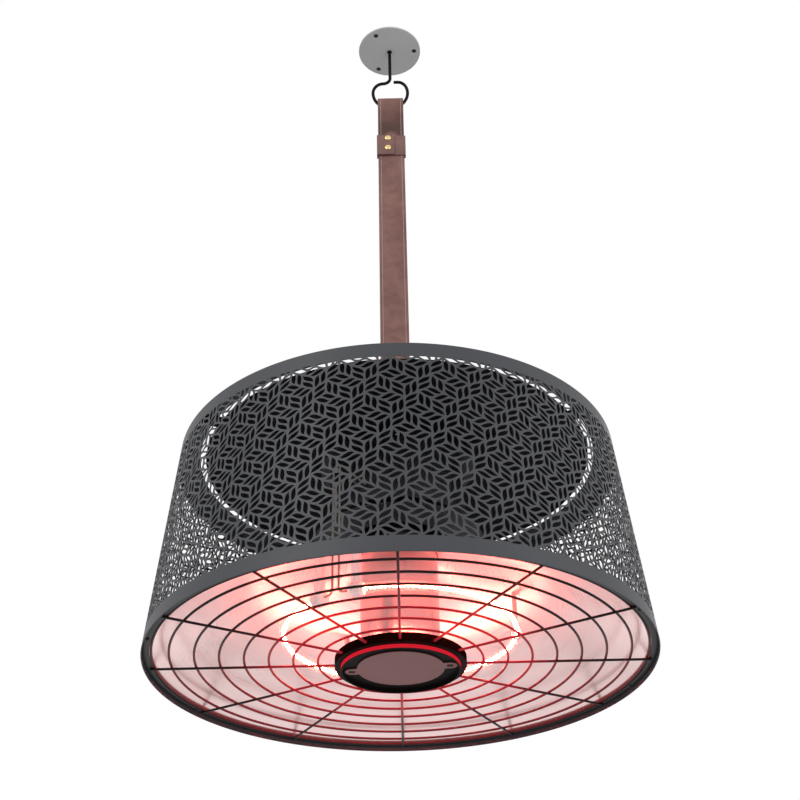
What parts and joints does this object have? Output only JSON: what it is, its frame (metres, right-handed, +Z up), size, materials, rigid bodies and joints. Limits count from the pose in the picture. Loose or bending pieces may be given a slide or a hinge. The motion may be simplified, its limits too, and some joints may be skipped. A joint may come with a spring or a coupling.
{
  "type": "hanging patio heater",
  "caption": "Ceiling-hung patio heater: a leather strap on a hook carries a perforated cone shade round a polished dish, ring lamp, wire guard and round hub.",
  "frame": {"origin": "centre of the ceiling plate's top face, where it meets the ceiling", "axes": "+Z up, into the ceiling; +X along the hanger bar, to the right in the picture; -Y towards the camera"},
  "size_m": [0.6, 0.6, 1.0687],
  "materials": {
    "black_steel": "satin black coat",
    "plate_grey": "satin grey coat",
    "brown_leather": "waxed, sewn along both edges",
    "brass": "polished",
    "shade_powder_coat": "fine-grained powder coat",
    "zinc_steel": "zinc plated",
    "polished_aluminium": "polished, brushed round the axis",
    "hub_plastic": "semi-gloss moulded",
    "badge_plastic": "matt, bare",
    "ceramic": "fired ceramic",
    "lamp_glow": "quartz tube, lit",
    "board_green": "coated laminate",
    "relay_blue": "moulded",
    "white_plastic": "moulded",
    "wire_silicone": "silicone jacket",
    "lead_sleeve": "woven glass sleeve",
    "black_nylon": "moulded"
  },
  "bodies": {
    "ceiling_mount": {"ceiling_plate": "plate_grey", "ceiling_hook": "black_steel"},
    "strap": {"hanging_strap": "brown_leather"},
    "keeper": {"strap_keeper": "brown_leather", "keeper_stud_1": "brass", "keeper_stud_2": "brass"},
    "heater": {"hanger_bar": "zinc_steel", "bar_ring": "zinc_steel", "hanger_bracket": "black_steel", "bracket_bolt_1": "zinc_steel", "bracket_bolt_2": "zinc_steel", "top_cover": "black_steel", "top_spider": "black_steel", "spider_screw_1": "zinc_steel", "spider_screw_2": "zinc_steel", "spider_screw_3": "zinc_steel", "gland_body": "black_nylon", "gland_nut": "black_nylon", "gland_lock_nut": "black_nylon", "shade": "shade_powder_coat", "wire_guard": "black_steel", "rim_screw_1": "zinc_steel", "rim_screw_2": "zinc_steel", "rim_screw_3": "zinc_steel", "rim_screw_4": "zinc_steel", "rim_screw_5": "zinc_steel", "rim_screw_6": "zinc_steel", "rim_screw_7": "zinc_steel", "rim_screw_8": "zinc_steel", "control_housing": "zinc_steel", "housing_screw_1": "zinc_steel", "housing_screw_2": "zinc_steel", "housing_screw_3": "zinc_steel", "heat_shield": "zinc_steel", "control_board": "board_green", "board_screw_1": "zinc_steel", "board_screw_2": "zinc_steel", "relay": "relay_blue", "terminal_block": "white_plastic", "relay_wire": "wire_silicone", "thermal_cutout": "black_nylon", "ring_lamp": "lamp_glow", "lamp_end_cap_1": "ceramic", "lamp_end_cap_2": "ceramic", "lamp_holder_1": "zinc_steel", "lamp_holder_2": "zinc_steel", "lamp_lead_1": "lead_sleeve", "lamp_lead_2": "lead_sleeve", "lamp_clip_1": "zinc_steel", "lamp_clip_2": "zinc_steel", "reflector_dish": "polished_aluminium", "column": "polished_aluminium", "tie_rod": "zinc_steel", "tie_nut": "zinc_steel", "hub_body": "hub_plastic", "hub_cover": "hub_plastic", "hub_badge": "badge_plastic", "hub_screw_1": "black_steel", "hub_screw_2": "black_steel"}
  },
  "joints": [
    {"name": "strap_swing", "type": "hinge", "parent": "ceiling_mount", "child": "strap", "pos_m": [0, 0, -0.12686], "axis": [1, 0, 0], "range_deg": [-35, 35]},
    {"name": "heater_tilt", "type": "hinge", "parent": "strap", "child": "heater", "pos_m": [0, 0, -0.77236], "axis": [1, 0, 0], "range_deg": [-20, 20]},
    {"name": "keeper_slide", "type": "slide", "parent": "strap", "child": "keeper", "axis": [0, 0, 1], "range_m": [-0.35, 0.025]}
  ]
}
